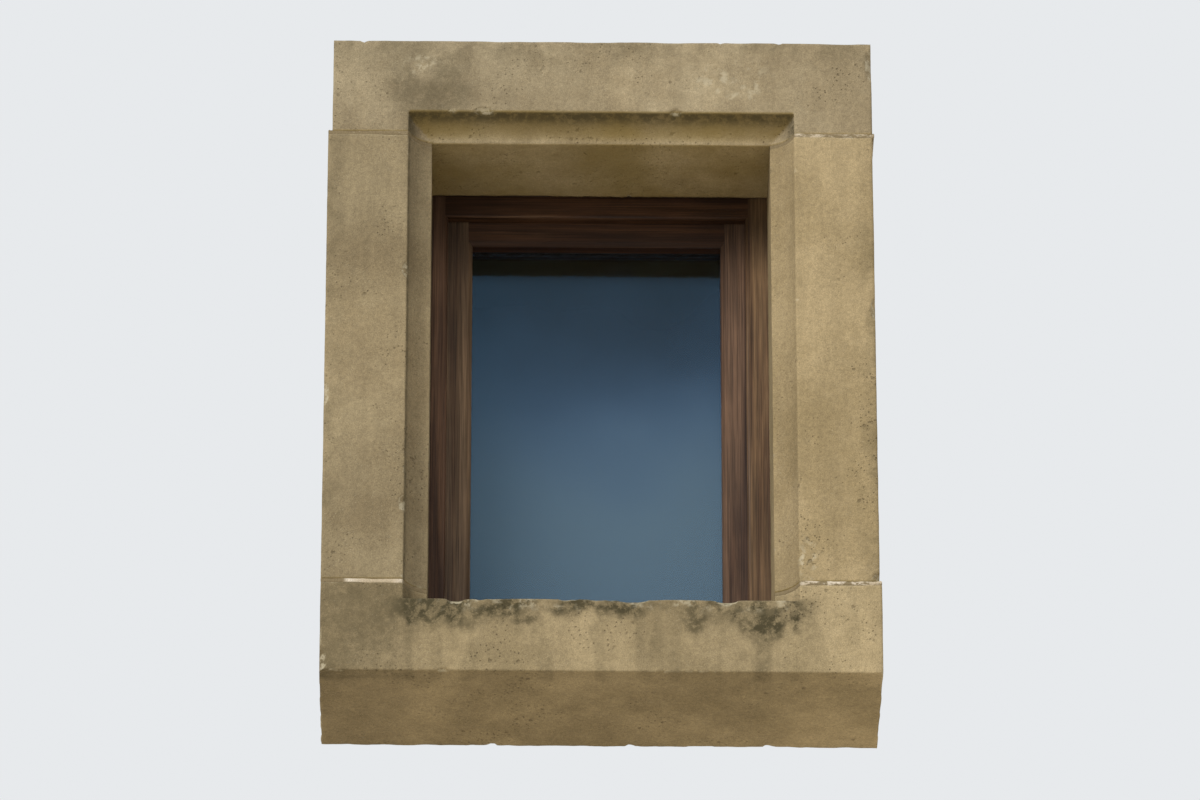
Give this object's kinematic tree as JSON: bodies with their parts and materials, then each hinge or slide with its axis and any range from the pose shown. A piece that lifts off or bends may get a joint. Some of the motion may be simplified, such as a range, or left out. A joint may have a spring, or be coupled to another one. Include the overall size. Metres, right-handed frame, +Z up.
{
  "type": "gable window",
  "caption": "Inward-opening timber casement window with double glazing and a cremone bolt, set in a dressed stone surround with hollow-chamfered lintel and jambs and a stooled sill.",
  "frame": {"origin": "centre of the flat bed face under the stone sill", "axes": "+X to the right seen from outside, +Y through the window towards the room, +Z up along the jambs"},
  "size_m": [1.1, 0.3999, 1.44],
  "materials": {
    "stone": "matte",
    "mortar": "matte",
    "timber": "satin",
    "glass": "gloss",
    "spacer": "satin",
    "seal": "matte",
    "ironmongery": "satin",
    "steel": "satin"
  },
  "bodies": {
    "surround": {"stone_lintel": "stone", "stone_sill": "stone", "stone_jamb_left": "stone", "stone_jamb_right": "stone", "mortar_bed_lower_left": "mortar", "mortar_bed_lower_right": "mortar", "mortar_bed_upper_left": "mortar", "mortar_bed_upper_right": "mortar", "sill_bedding": "mortar", "perimeter_packing": "mortar", "frame_head": "timber", "frame_sill": "timber", "frame_jamb_left": "timber", "frame_jamb_right": "timber", "bedding_mastic": "seal", "weather_seal": "seal", "hinge_frame_half_lower": "steel", "hinge_frame_half_upper": "steel", "hinge_pin_lower": "steel", "hinge_pin_upper": "steel", "upper_keep": "ironmongery", "lower_keep": "ironmongery", "fixing_straps": "steel", "strap_screws": "steel", "keep_screws": "steel"},
    "sash": {"sash_hinge_stile": "timber", "sash_lock_stile": "timber", "sash_top_rail": "timber", "sash_bottom_rail": "timber", "weather_bar": "timber", "glazing_bead_top": "timber", "glazing_bead_bottom": "timber", "glazing_bead_left": "timber", "glazing_bead_right": "timber", "rod_guide_top": "ironmongery", "rod_guide_upper": "ironmongery", "rod_guide_lower": "ironmongery", "rod_guide_bottom": "ironmongery", "outer_pane": "glass", "inner_pane": "glass", "spacer_frame": "spacer", "edge_sealant": "seal", "glazing_tape": "seal", "setting_blocks": "seal", "hinge_sash_half_lower": "steel", "hinge_sash_half_upper": "steel", "cremone_backplate": "ironmongery", "cremone_case": "ironmongery", "bolt_screws": "steel"},
    "handle": {"handle": "ironmongery", "pinion_spindle": "steel"},
    "upper_rod": {"upper_rod": "steel", "upper_rack": "steel"},
    "lower_rod": {"lower_rod": "steel", "lower_rack": "steel"}
  },
  "joints": [
    {"name": "sash_swing", "type": "hinge", "parent": "surround", "child": "sash", "pos_m": [-0.3425, 0.1685, 0.7115], "axis": [0, 0, 1], "range_deg": [0, 100]},
    {"name": "handle_turn", "type": "hinge", "parent": "sash", "child": "handle", "pos_m": [0.2915, 0.203, 0.7115], "axis": [0, -1, 0], "range_deg": [0, 90]},
    {"name": "upper_rod_slide", "type": "slide", "parent": "sash", "child": "upper_rod", "axis": [0, 0, 1], "range_m": [0, 0.01603]},
    {"name": "lower_rod_slide", "type": "slide", "parent": "sash", "child": "lower_rod", "axis": [0, 0, -1], "range_m": [0, 0.01603]}
  ],
  "couplings": [
    {"joint": "upper_rod_slide", "follows": "handle_turn", "m_per_rad": 0.0102},
    {"joint": "lower_rod_slide", "follows": "handle_turn", "m_per_rad": 0.0102}
  ]
}
